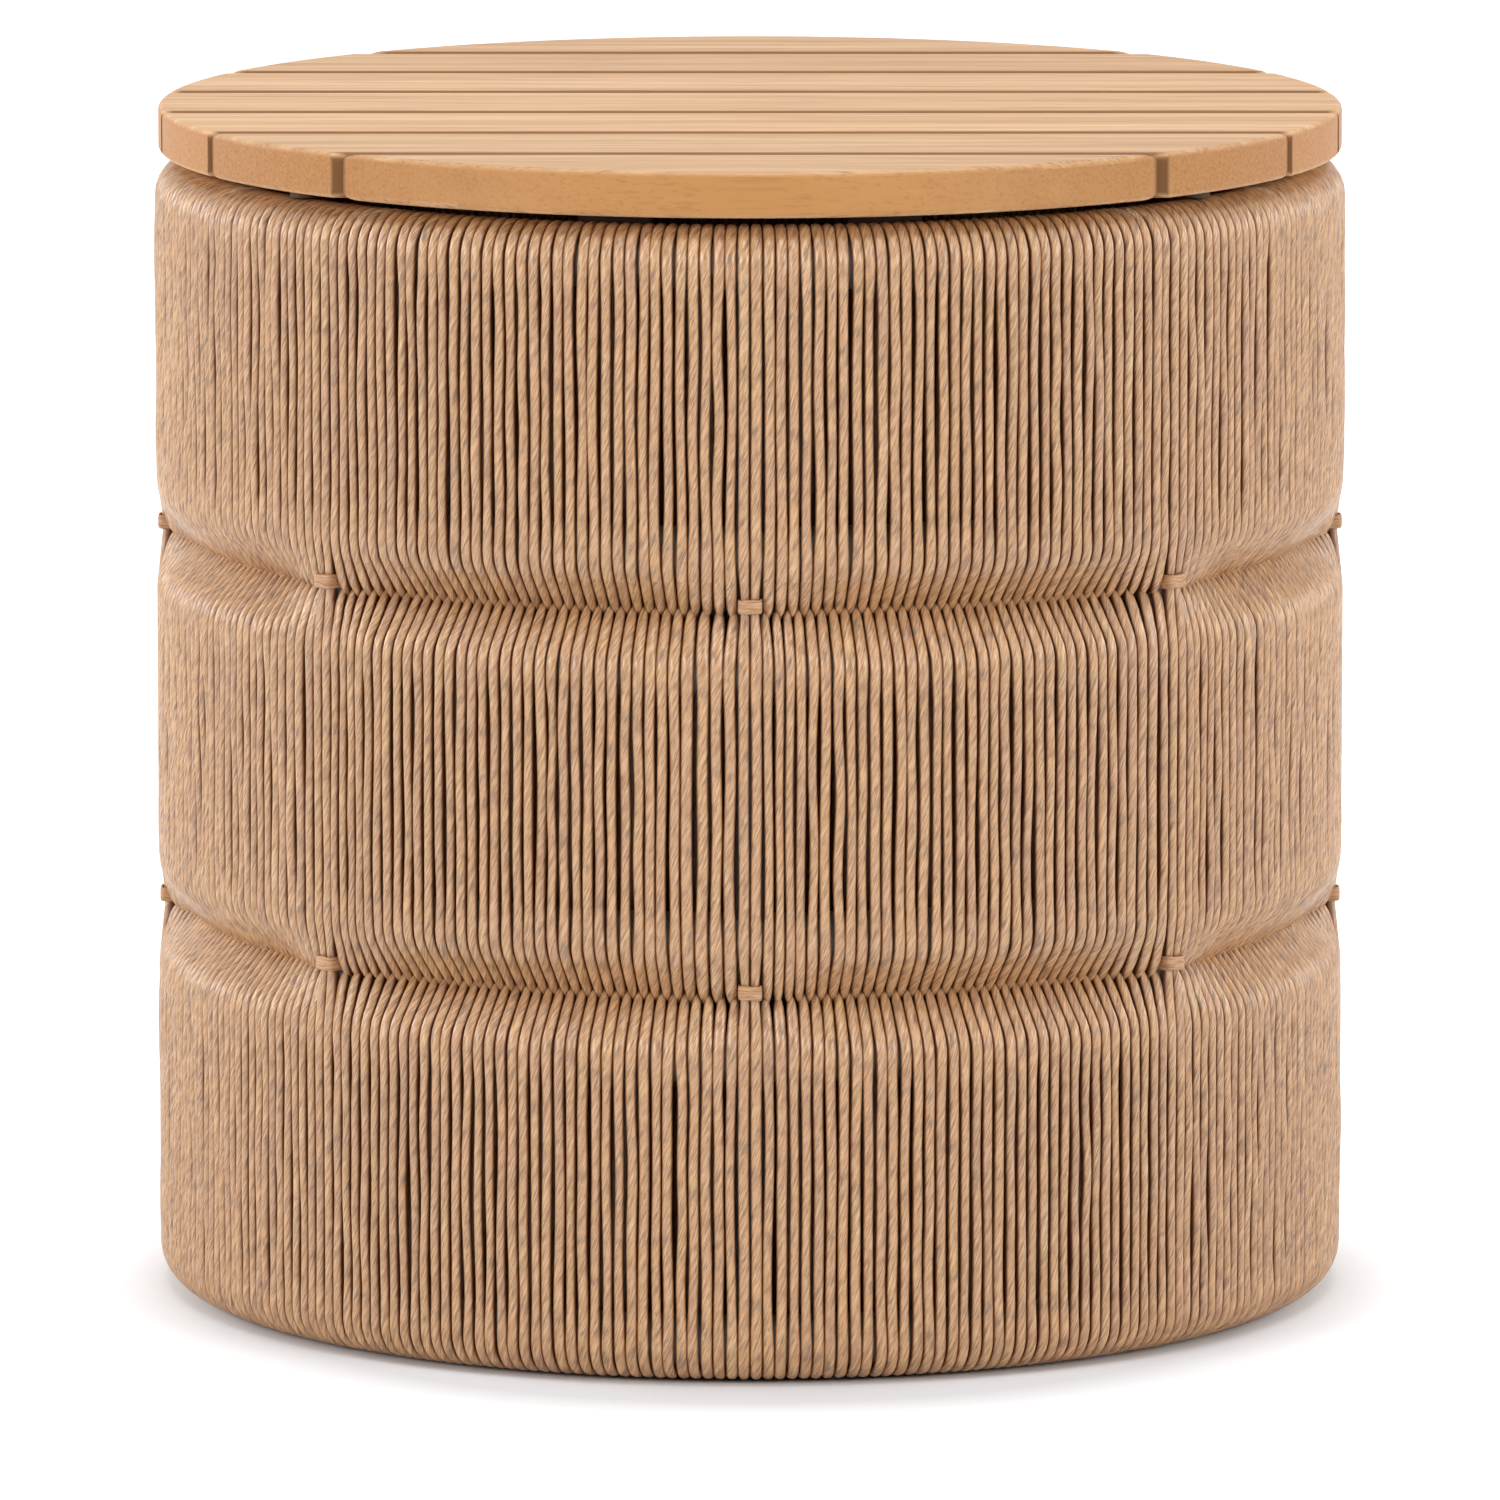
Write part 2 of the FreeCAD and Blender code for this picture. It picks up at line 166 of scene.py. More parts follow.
# Twisted paper-look polyethylene: a strip with a waxy sheen, whose fibres and creases
# climb round the cord, tan with grey-brown streaks where its colour varies
wound_cord, tree, shader = blank_material("twisted_paper_look_cord")
lay = add(tree, "SeparateXYZ", _0=add(tree, "UVMap", {"uv_map": "cord_lay"}).outputs["UV"])
around, along = lay.outputs["X"], lay.outputs["Y"]
climb = add(tree, "Math", {"operation": "DIVIDE", 1: TWIST_PITCH}, _0=along).outputs[0]
strand = add(tree, "Math", {"operation": "ADD"}, _0=around, _1=climb).outputs[0]
twisted = add(tree, "CombineXYZ", _0=strand, _1=along).outputs[0]
# Fibres are 0.3 mm wide, drawn 0.9 mm wide and 9 mm long so that they show, and the
# grey-brown streaks are 2 mm by 9 mm
fibre_at = add(tree, "VectorMath", {"operation": "DIVIDE", 1: (0.9 * MM / CORD_GIRTH, 9 * MM, 1)}, _0=twisted)
fibre = add(tree, "TexNoise", {"Scale": 1.0, "Detail": 3.0, "Roughness": 0.6}, Vector=fibre_at.outputs[0])
streak_at = add(tree, "VectorMath", {"operation": "DIVIDE", 1: (2 * MM / CORD_GIRTH, 9 * MM, 1)}, _0=twisted)
streak = add(tree, "TexNoise", {"Scale": 1.0, "Detail": 3.0, "Roughness": 0.6}, Vector=streak_at.outputs[0])
# The tone drifts over about 110 mm of cord
tone_along = add(tree, "Math", {"operation": "DIVIDE", 1: 110 * MM}, _0=along)
tone_at = add(tree, "CombineXYZ", _0=tone_along.outputs[0])
tone = add(tree, "TexNoise", {"Scale": 1.0, "Detail": 2.0}, Vector=tone_at.outputs[0])
tan = add(tree, "ValToRGB", {"stops": [(0.3, "#d0a47d"), (0.45, "#dfb084"), (0.58, "#e3b481"),
                                       (0.72, "#ecc59a")]}, _0=tone.outputs["Fac"])
shade = add(tree, "ValToRGB", {"stops": [(0.32, "#a99582"), (0.5, "#e0d9d0"), (0.64, "#ffffff")]},
            _0=fibre.outputs["Fac"])
fibrous = add(tree, "Mix", {"data_type": "RGBA", "blend_type": "MULTIPLY", 0: 1.0},
              _6=tan.outputs["Color"], _7=shade.outputs["Color"])
stain = add(tree, "MapRange", {"From Min": 0.54, "From Max": 0.68, "To Max": 0.75},
            Value=streak.outputs["Fac"])
streaked = add(tree, "Mix", {"data_type": "RGBA", 7: linear("#735c49")},
               _0=stain.outputs["Result"], _6=fibrous.outputs[2])
# Painted shade: the cords' sides, which face their neighbours deep between the cords, are painted dark brown
# where shade falls, and the side that faces out keeps its colour
facing = add(tree, "Math", {"operation": "PINGPONG", 1: 0.5}, _0=around).outputs[0]
painted_flank_shade = add(tree, "MapRange", {"From Min": 0.365, "From Max": 0.29, "To Max": 0.95}, Value=facing)
flank_shaded = add(tree, "Mix", {"data_type": "RGBA", 7: linear("#6b3a12")},
            _0=painted_flank_shade.outputs["Result"], _6=streaked.outputs[2])
tree.links.new(flank_shaded.outputs[2], shader.inputs["Base Color"])
# Two creases climb the cord where the strip's edges lie, 0.35 mm deep
fold = add(tree, "Math", {"operation": "MULTIPLY", 1: 2.0}, _0=strand).outputs[0]
edge = add(tree, "Math", {"operation": "PINGPONG", 1: 0.5}, _0=fold).outputs[0]
crease = add(tree, "MapRange", {"From Max": 0.16}, Value=edge)
height = add(tree, "Math", {"operation": "MULTIPLY_ADD", 1: 0.6},
             _0=fibre.outputs["Fac"], _2=crease.outputs["Result"])
bump = add(tree, "Bump", {"Strength": 0.45, "Distance": 0.35 * MM}, Height=height.outputs[0])
tree.links.new(bump.outputs["Normal"], shader.inputs["Normal"])
shader.inputs["Roughness"].default_value = 0.34
shader.inputs["Specular IOR Level"].default_value = 0.9


def smooth(value):
    """Eases from 0 to 1 as value goes from 0 to 1."""
    value = min(1.0, max(0.0, value))
    return value * value * (3 - 2 * value)


# Spacing of a cord's points: round a hoop, along an inner run and along an outer run
ARC_STEP = math.radians(14)
INNER_SPACING = 14 * MM
OUTER_SPACING = 7 * MM
OUTER_STEPS = 13


def taut_line(pulleys, closed=True):
    """Points of a cord's centre line pulled tight round pulleys, anticlockwise in the half
    plane through the axis, each as its radius, height and outward normal."""
    count = len(pulleys)
    reach = CORD_SLACK + CORD_DIAMETER / 2
    runs = []
    for index in range(count):
        r0, z0, rod0 = pulleys[index]
        r1, z1, rod1 = pulleys[(index + 1) % count]
        length = math.hypot(r1 - r0, z1 - z0)
        ahead = ((r1 - r0) / length, (z1 - z0) / length)
        lean = (rod0 - rod1) / length
        out = math.sqrt(1 - lean * lean)
        normal = (ahead[1] * out + ahead[0] * lean, -ahead[0] * out + ahead[1] * lean)
        start = (r0 + (rod0 + reach) * normal[0], z0 + (rod0 + reach) * normal[1])
        end = (r1 + (rod1 + reach) * normal[0], z1 + (rod1 + reach) * normal[1])
        runs.append((start, end, math.atan2(normal[1], normal[0])))
    points = []
    for index in range(count if closed else count - 1):
        r0, z0, rod0 = pulleys[index]
        start, end, angle = runs[index]
        if closed or index > 0:
            size = rod0 + reach
            before = runs[index - 1][2]
            sweep = (angle - before) % math.tau
            steps = max(2, round(sweep / ARC_STEP))
            for step in range(steps):
                turn = before + sweep * step / steps
                points.append((r0 + size * math.cos(turn), z0 + size * math.sin(turn),
                               (math.cos(turn), math.sin(turn))))
        length = math.hypot(end[0] - start[0], end[1] - start[1])
        spacing = INNER_SPACING if math.cos(angle) < 0 else min(OUTER_SPACING, length / OUTER_STEPS)
        steps = max(2, math.ceil(length / spacing))
        for step in range(steps if closed or index < count - 2 else steps + 1):
            share = step / steps
            points.append((start[0] + (end[0] - start[0]) * share, start[1] + (end[1] - start[1]) * share,
                           (math.cos(angle), math.sin(angle))))
    return points


CORD_SIDES = 10


class CordBundle:
    """Mesh data of the cords of one eighth of a tier."""

    def __init__(self):
        self.points = []
        self.faces = []
        self.lays = []

    def cord(self, line, closed, angle, shape, start_along):
        """Adds one cord. For a point of its line, shape gives its sideways shift, its shift
        away from the axis, its half width and its half thickness."""
        first = len(self.points)
        alongs = [start_along]
        for before, after in zip(line, line[1:] + line[:1]):
            alongs.append(alongs[-1] + math.hypot(after[0] - before[0], after[1] - before[1]))
        for radius, height, normal in line:
            shift, away, half_width, half_thick = shape(radius, height, normal)
            turn = angle + shift / radius
            outward = (math.cos(turn), math.sin(turn))
            for step in range(CORD_SIDES):
                phi = math.tau * step / CORD_SIDES - math.pi / 2
                lateral = half_width * math.cos(phi)
                lift = half_thick * math.sin(phi)
                reach = radius + away + lift * normal[0]
                self.points.append((reach * outward[0] - lateral * outward[1],
                                    reach * outward[1] + lateral * outward[0], height + lift * normal[1]))
        rings = len(line)
        for ring in range(rings if closed else rings - 1):
            after = (ring + 1) % rings
            for step in range(CORD_SIDES):
                beside = (step + 1) % CORD_SIDES
                self.faces.append((first + ring * CORD_SIDES + step, first + ring * CORD_SIDES + beside,
                                   first + after * CORD_SIDES + beside, first + after * CORD_SIDES + step))
                left, right = step / CORD_SIDES, (step + 1) / CORD_SIDES
                self.lays += [left, alongs[ring], right, alongs[ring],
                              right, alongs[ring + 1], left, alongs[ring + 1]]
        if not closed:
            for ring, order in ((0, -1), (rings - 1, 1)):
                rim = [first + ring * CORD_SIDES + step for step in range(CORD_SIDES)][::order]
                self.faces.append(tuple(rim))
                self.lays += [0.0, alongs[ring]] * CORD_SIDES


def smooth_piece(name, points, faces, lay_name, lays, material):
    """A smooth mesh with one map of how its strip lies, linked to the scene."""
    mesh = bpy.data.meshes.new(name)
    mesh.from_pydata(points, [], faces)
    mesh.uv_layers.new(name=lay_name).data.foreach_set("uv", lays)
    mesh.polygons.foreach_set("use_smooth", [True] * len(mesh.polygons))
    mesh.materials.append(material)
    piece = bpy.data.objects.new(name, mesh)
    bpy.context.collection.objects.link(piece)
    return piece


def wander(reach):
    """A slow drift of one cord, as a function of height."""
    waves = [(reach * chance.uniform(0.4, 1.0), chance.uniform(45, 170) * MM, chance.uniform(0, math.tau))
             for _ in range(2)]
    return lambda height: sum(size * math.sin(math.tau * height / length + phase)
                              for size, length, phase in waves)


# A cord's half thickness as a share of its diameter, and its width as a share of its room
# where it is pressed against its neighbours
PRESSED_THICK, FREE_THICK = 0.45, 0.48
PRESSED_INSIDE, PRESSED_OUTSIDE, PRESSED_PAIR = 1.1, 0.97, 1.03
# A cord comes free over HOOP_EASE from a hoop, strays from STRAY_EASE off a waist and comes
# to a point, TIP_SHARE of its width, over TIP_LENGTH
HOOP_EASE = 16 * MM
STRAY_EASE = 30 * MM
TIP_LENGTH = 8 * MM
TIP_SHARE = 0.42
# A strut holds the cords near it out by STRUT_LIFT, from LIFT_INSIDE within the tier to
# LIFT_PAST beyond the waist plane
STRUT_LIFT = 10 * MM
STRUT_SPREAD = 18 * MM
LIFT_INSIDE = 22 * MM
LIFT_PAST = 5 * MM
# A tie draws the cords below and above it together, most at the first free cord
CROWD_BELOW, CROWD_ABOVE = 1.3 * MM, 0.2 * MM
CROWD_FROM = 7.2 * MM
CROWD_SPREAD = 12 * MM


def free_cord(tier, place, room):
    """How a free cord swells, narrows and strays. On the hoops it is pressed against its
    neighbours, between them it stands apart, and at a waist it comes to a point between
    the cords of the other tier, held out beside a strut and crowded towards a tie. The
    inner runs have less room, so they stay pressed together."""
    drift, bulge = wander(0.30 * MM), wander(0.35 * MM)
    slim = chance.uniform(0.76, 0.91)
    rest, proud = chance.gauss(0, 0.2 * MM), chance.gauss(0, 0.3 * MM)
    low_waist, high_waist = tier["waists"]
    low_hoop, high_hoop = tier["hoops"]

    def shape(radius, height, normal):
        inside = min(height - low_waist, high_waist - height)
        between = min(height - low_hoop, high_hoop - height)
        outer = smooth(normal[0])
        free = smooth(between / HOOP_EASE) * outer
        blunt = min(1.0, max(0.0, inside / TIP_LENGTH))
        tip = TIP_SHARE + (1 - TIP_SHARE) * math.sqrt(blunt * (2 - blunt))
        pressed = PRESSED_INSIDE + (PRESSED_OUTSIDE - PRESSED_INSIDE) * outer
        width = radius * cord_step * room * (pressed - (pressed - slim) * free) * tip
        away = (min(proud, 0.0) + bulge(height)) * free
        sideways = (rest + drift(height)) * smooth(inside / STRAY_EASE) * outer
        if normal[0] > 0:
            gap = place * radius
            beside = math.exp(-(gap / STRUT_SPREAD) ** 2 / 2)
            held = smooth(1 - inside / LIFT_INSIDE) if inside > 0 else smooth(1 + inside / LIFT_PAST)
            away += STRUT_LIFT * beside * held
            crowd = CROWD_BELOW if high_waist - height < height - low_waist else CROWD_ABOVE
            crowd *= math.exp((CROWD_FROM - abs(gap)) / CROWD_SPREAD)
            sideways -= math.copysign(crowd, gap) * held
        thick = PRESSED_THICK + (FREE_THICK - PRESSED_THICK) * free
        return sideways, away, width / 2, CORD_DIAMETER * thick

    return shape


# A tied pair fills its tie's inside: the tie's width less twice its strip's thickness. It
# is drawn together over GRIP_EASE above and below the tie
TIE_STRIP = 1.2 * MM
TIED_PAIR = 7.5 * MM
GRIP_EASE = 24 * MM


def tied_cord(tier, side):
    """How one cord of a tied pair runs: drawn in towards the other where the tie grips them."""
    drift = wander(0.2 * MM)
    slim = chance.uniform(0.86, 0.94)
    low_hoop, high_hoop = tier["hoops"]

    def shape(radius, height, normal):
        free = smooth(min(height - low_hoop, high_hoop - height) / HOOP_EASE) * smooth(normal[0])
        grip = max(1 - smooth(abs(height - strut[1]) / GRIP_EASE) for strut in (upper_strut, lower_strut))
        if normal[0] < 0:
            grip = 0.0
        loose = radius * cord_step * (PRESSED_PAIR - (PRESSED_PAIR - slim) * free)
        width = loose + (TIED_PAIR / 2 - loose) * grip
        sideways = side * (width / 2 - radius * cord_step / 2) * grip
        return sideways + drift(height) * free, 0.0, width / 2, CORD_DIAMETER * FREE_THICK

    return shape


# Each tier's pulleys in order, its waist planes (or no plane), its hoops' heights, and
# the pulleys of its tied pairs. Shifted cords stand half a step off the next tier's, and
# the shift comes in over SHIFT_CORDS. Each cord's pattern starts somewhere in PATTERN_SPAN
NO_WAIST = 9.0
SHIFT_CORDS = 5
PATTERN_SPAN = 40.0
tiers = {
    "upper": {"loop": [upper_low_hoop, top_hoop, upper_ring], "waists": (upper_ring[1], NO_WAIST),
              "hoops": (upper_low_hoop[1], top_hoop[1]), "shift": 0.0,
              "pairs": [[upper_strut, upper_low_hoop, top_hoop, upper_ring]]},
    "middle": {"loop": [lower_ring, middle_low_hoop, middle_high_hoop, upper_ring],
               "waists": (lower_ring[1], upper_ring[1]), "hoops": (middle_low_hoop[1], middle_high_hoop[1]),
               "shift": 0.5, "pairs": [[lower_strut, middle_low_hoop, middle_high_hoop, upper_strut],
                                       [upper_ring, lower_ring]]},
    "lower": {"loop": [lower_ring, bottom_hoop, lower_high_hoop], "waists": (-NO_WAIST, lower_ring[1]),
              "hoops": (bottom_hoop[1], lower_high_hoop[1]), "shift": 0.0,
              "pairs": [[lower_ring, bottom_hoop, lower_high_hoop, lower_strut]]},
}

for tier_name, tier in tiers.items():
    loop_line = taut_line(tier["loop"])
    pair_lines = [taut_line(pulleys, closed=False) for pulleys in tier["pairs"]]
    for bay in range(BAYS):
        bundle = CordBundle()
        post_angle = bay_angle * bay - math.pi / 2
        for side in (-1, 1):
            for line in pair_lines:
                bundle.cord(line, False, post_angle + side * cord_step / 2, tied_cord(tier, side),
                            chance.uniform(0, PATTERN_SPAN))
            # Shifted cords crowd on one side of the pair and spread on the other
            places = [0.5 + number - side * tier["shift"] * smooth(number / SHIFT_CORDS)
                      for number in range(CORDS_PER_BAY // 2 + 1)]
            for number in range(1, CORDS_PER_BAY // 2):
                place = side * places[number] * cord_step
                room = (places[number + 1] - places[number - 1]) / 2
                bundle.cord(loop_line, True, post_angle + place, free_cord(tier, place, room),
                            chance.uniform(0, PATTERN_SPAN))
        piece = smooth_piece("%s_tier_cords_%d" % (tier_name, bay + 1), bundle.points, bundle.faces,
                             "cord_lay", bundle.lays, wound_cord)
        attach(piece, "base")
        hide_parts(tier_name + "_wrap", *(["middle_wrap_lining"] if tier_name == "middle" else []))


# Waist ties: flat strips of the same polyethylene, untwisted, each drawn tight round a tied
# pair where it crosses a waist, with its ends tucked in beside the strut.
STRIP_SIDES = 12
STRIP_BEND = 1.6 * MM
BEND_STEPS = 4
EDGE_ROUNDING = 0.6
PUCKER = 0.04
PUCKER_LENGTH = 7 * MM
TIE_SLANT = 0.05
STRIP_SPAN = 10.0

# The strip is pulled flat, so its fibres run lengthwise in slow waves and it looks
# smoother and paler than the cord
tie_strip, tree, shader = blank_material("flat_paper_look_strip")
lay = add(tree, "SeparateXYZ", _0=add(tree, "UVMap", {"uv_map": "strip_lay"}).outputs["UV"])
across, along = lay.outputs["X"], lay.outputs["Y"]
# Fibres 0.6 mm wide and 9 mm long, bending up and down within 1.6 mm every 4 mm or so
bend_along = add(tree, "Math", {"operation": "DIVIDE", 1: 4 * MM}, _0=along)
bend_at = add(tree, "CombineXYZ", _0=bend_along.outputs[0])
bend = add(tree, "TexNoise", {"Scale": 1.0, "Detail": 1.0}, Vector=bend_at.outputs[0])
waved = add(tree, "Math", {"operation": "MULTIPLY_ADD", 1: 1.6 * MM}, _0=bend.outputs["Fac"], _2=across)
flattened = add(tree, "CombineXYZ", _0=waved.outputs[0], _1=along)
fibre_at = add(tree, "VectorMath", {"operation": "DIVIDE", 1: (0.6 * MM, 9 * MM, 1)}, _0=flattened.outputs[0])
fibre = add(tree, "TexNoise", {"Scale": 1.0, "Detail": 3.0, "Roughness": 0.6}, Vector=fibre_at.outputs[0])
pale = add(tree, "ValToRGB", {"stops": [(0.3, "#8d6140"), (0.48, "#c0926a"), (0.68, "#dcb088")]},
           _0=fibre.outputs["Fac"])
bump = add(tree, "Bump", {"Strength": 0.5, "Distance": 0.3 * MM}, Height=fibre.outputs["Fac"])
tree.links.new(pale.outputs["Color"], shader.inputs["Base Color"])
tree.links.new(bump.outputs["Normal"], shader.inputs["Normal"])
shader.inputs["Roughness"].default_value = 0.5

for tie_name in ("upper_waist_ties", "lower_waist_ties"):
    low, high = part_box(tie_name)
    front = high[0] - TIE_STRIP / 2
    half = (TIED_PAIR + TIE_STRIP) / 2
    rear = frame_circle + math.sqrt(strut_radius ** 2 - half ** 2)
    middle = (low[2] + high[2]) / 2
    # The strip's line in plan: along one side, round a bend, across the front and back
    turns = [math.pi / 2 * step / BEND_STEPS for step in range(BEND_STEPS + 1)]
    flank = [(rear + (front - STRIP_BEND - rear) * share, half, 0.0, 1.0) for share in (0.0, 0.5)]
    corner = [(front + STRIP_BEND * (math.sin(turn) - 1), half + STRIP_BEND * (math.cos(turn) - 1),
               math.sin(turn), math.cos(turn)) for turn in turns]
    right = flank + corner
    centre = [(front, (half - STRIP_BEND) * share, 1.0, 0.0) for share in (0.5, 0.0, -0.5)]
    line = right + centre + [(out, -beside, face, -turned) for out, beside, face, turned in reversed(right)]
    points, faces, lays = [], [], []
    for bay in range(BAYS):
        first = len(points)
        angle = bay_angle * bay - math.pi / 2
        slant = chance.uniform(-TIE_SLANT, TIE_SLANT)
        wave = chance.uniform(0, math.tau)
        alongs = [chance.uniform(0, STRIP_SPAN)]
        for before, after in zip(line, line[1:]):
            alongs.append(alongs[-1] + math.hypot(after[0] - before[0], after[1] - before[1]))
        for out, beside, face, turned in line:
            pucker = 1 - PUCKER + PUCKER * math.sin(math.tau * beside / PUCKER_LENGTH + wave)
            for step in range(STRIP_SIDES):
                phi = math.tau * step / STRIP_SIDES
                thick = TIE_STRIP / 2 * math.copysign(abs(math.sin(phi)) ** EDGE_ROUNDING, math.sin(phi))
                rise = tie_half_height * math.copysign(abs(math.cos(phi)) ** EDGE_ROUNDING, math.cos(phi))
                reach = out + thick * face
                lateral = beside + thick * turned
                points.append((reach * math.cos(angle) - lateral * math.sin(angle),
                               reach * math.sin(angle) + lateral * math.cos(angle),
                               middle + rise * pucker + slant * beside))
        for ring in range(len(line) - 1):
            after = ring + 1
            for step in range(STRIP_SIDES):
                beside = (step + 1) % STRIP_SIDES
                faces.append((first + ring * STRIP_SIDES + beside, first + ring * STRIP_SIDES + step,
                              first + after * STRIP_SIDES + step, first + after * STRIP_SIDES + beside))
                left, right = [tie_half_height * math.cos(math.tau * place / STRIP_SIDES)
                               for place in (step + 1, step)]
                lays += [left, alongs[ring], right, alongs[ring], right, alongs[after], left, alongs[after]]
        for ring, order in ((0, 1), (len(line) - 1, -1)):
            faces.append(tuple([first + ring * STRIP_SIDES + step for step in range(STRIP_SIDES)][::order]))
            lays += [0.0, alongs[ring]] * STRIP_SIDES
    strips = smooth_piece(tie_name + "_strips", points, faces, "strip_lay", lays, tie_strip)
    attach(strips, "base")
    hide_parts(tie_name)


# Storage floor: a sheet of black polyethylene board cut to a disc, drilled to drain and
# screwed down to the two floor bars.
# Pressed polyethylene: a low waxy gloss over a shallow hammered grain about 3 mm across
board, tree, shader = blank_material("pressed_polyethylene_board")
spot = add(tree, "TexCoord").outputs["Object"]
hammer = add(tree, "TexVoronoi", {"Scale": 1 / (3 * MM)}, Vector=spot)
scuff = add(tree, "TexNoise", {"Scale": 1 / (35 * MM), "Detail": 4.0}, Vector=spot)
dark = add(tree, "ValToRGB", {"stops": [(0.35, "#2c2926"), (0.7, "#3d3935")]}, _0=scuff.outputs["Fac"])
dimple = add(tree, "Bump", {"Strength": 0.3, "Distance": 0.2 * MM}, Height=hammer.outputs["Distance"])
tree.links.new(dark.outputs["Color"], shader.inputs["Base Color"])
tree.links.new(dimple.outputs["Normal"], shader.inputs["Normal"])
shader.inputs["Roughness"].default_value = 0.5
finish_nodes(board, "floor_panel")


# Lid slats: seven planed and round-edged teak boards, laid side by side with narrow
# gaps, cut to a disc and sanded over the edges. They are oiled once, and the sawn rim keeps
# its honey colour, while the broad faces are painted paler and greyer: a painted sheen.
slat_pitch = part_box("lid_slat_3")[0][1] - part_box("lid_slat_2")[0][1]
lid_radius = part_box("lid_slat_4")[1][0]
lid_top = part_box("lid_slat_4")[1][2]


def oiled_teak(name, lengthwise):
    """Oiled teak: satin, with fine dark fibre lines and paler bands along the board, a
    different board at each slat pitch, and honey-brown where it was sawn round."""
    material, tree, shader = blank_material(name)
    spot = add(tree, "TexCoord").outputs["Object"]
    axes = add(tree, "SeparateXYZ", _0=spot).outputs
    length, breadth = (axes["X"], axes["Y"]) if lengthwise == "X" else (axes["Y"], axes["X"])
    # Each board draws a number, which sets its tone and where its grain starts. The factor
    # only spreads the boards' places before the draw
    centred = add(tree, "Math", {"operation": "ADD", 1: slat_pitch / 2}, _0=breadth)
    board = add(tree, "Math", {"operation": "SNAP", 1: slat_pitch}, _0=centred.outputs[0])
    spread = add(tree, "Math", {"operation": "MULTIPLY", 1: 37.0}, _0=board.outputs[0])
    draw = add(tree, "TexWhiteNoise", {"noise_dimensions": "1D"}, W=spread.outputs[0]).outputs["Value"]
    start = add(tree, "Math", {"operation": "MULTIPLY_ADD", 1: 3.0}, _0=draw, _2=length)
    lie = add(tree, "CombineXYZ", _0=start.outputs[0], _1=breadth, _2=axes["Z"]).outputs[0]
    # Fibre lines 0.9 mm wide and 70 mm long, figure bands 9 mm wide and 300 mm long
    fibre_at = add(tree, "VectorMath", {"operation": "DIVIDE", 1: (70 * MM, 0.9 * MM, 1.5 * MM)}, _0=lie)
    fibre = add(tree, "TexNoise", {"Scale": 1.0, "Detail": 3.0, "Roughness": 0.55},
                Vector=fibre_at.outputs[0])
    figure_at = add(tree, "VectorMath", {"operation": "DIVIDE", 1: (300 * MM, 9 * MM, 12 * MM)}, _0=lie)
    figure = add(tree, "TexNoise", {"Scale": 1.0, "Detail": 2.0, "Distortion": 0.6},
                 Vector=figure_at.outputs[0])
    # Painted sheen: the broad faces are painted paler and greyer than the sawn rim
    top = add(tree, "ValToRGB", {"stops": [(0.3, "#cb9c6d"), (0.5, "#d8ac7e"), (0.68, "#e4bd92")]},
              _0=figure.outputs["Fac"])
    rim = add(tree, "ValToRGB", {"stops": [(0.3, "#c68b50"), (0.5, "#cb9155"), (0.7, "#cf975b")]},
              _0=figure.outputs["Fac"])
    facing = add(tree, "SeparateXYZ", _0=add(tree, "NewGeometry").outputs["Normal"]).outputs
    # The open pores of a board's end drink more oil. They are drawn 1.2 mm wide so that they show
    pores = add(tree, "TexNoise", {"Scale": 1 / (1.2 * MM), "Detail": 3.0}, Vector=spot)
    pored = add(tree, "ValToRGB", {"stops": [(0.3, "#ab7138"), (0.7, "#c58c51")]}, _0=pores.outputs["Fac"])
    endwise = add(tree, "Math", {"operation": "ABSOLUTE"}, _0=facing[lengthwise]).outputs[0]
    end = add(tree, "MapRange", {"From Min": 0.3, "From Max": 0.85}, Value=endwise).outputs["Result"]
    sawn = add(tree, "Mix", {"data_type": "RGBA"}, _0=end, _6=rim.outputs["Color"],
               _7=pored.outputs["Color"])
    # Sawn faces stand upright and sanded edges lean between: the rim is honey, the edge and the top pale with
    # painted sheen
    upright = add(tree, "Math", {"operation": "ABSOLUTE"}, _0=facing["Z"]).outputs[0]
    flat = add(tree, "MapRange", {"From Min": 0.25, "From Max": 0.8}, Value=upright).outputs["Result"]
    wood = add(tree, "Mix", {"data_type": "RGBA"}, _0=flat, _6=sawn.outputs[2], _7=top.outputs["Color"])
    shade = add(tree, "MapRange", {"To Min": 0.93, "To Max": 1.05}, Value=draw)
    toned = add(tree, "HueSaturation", Color=wood.outputs[2], Value=shade.outputs["Result"])
    lines = add(tree, "ValToRGB", {"stops": [(0.32, "#b48e6c"), (0.48, "#ffffff"), (0.7, "#fff8ee")]},
                _0=fibre.outputs["Fac"])
    strength = add(tree, "MapRange", {"To Min": 0.25, "To Max": 0.75}, Value=flat)
    grained = add(tree, "Mix", {"data_type": "RGBA", "blend_type": "MULTIPLY"},
                  _0=strength.outputs["Result"], _6=toned.outputs["Color"], _7=lines.outputs["Color"])
    bump = add(tree, "Bump", {"Strength": 0.25, "Distance": 0.15 * MM}, Height=fibre.outputs["Fac"])
    tree.links.new(bump.outputs["Normal"], shader.inputs["Normal"])
    shader.inputs["Roughness"].default_value = 0.5
    shader.inputs["Specular IOR Level"].default_value = 0.4
    return material, tree, shader, grained.outputs[2]


slat_teak, tree, shader, wood = oiled_teak("oiled_teak_slats", "X")
spot = add(tree, "TexCoord").outputs["Object"]
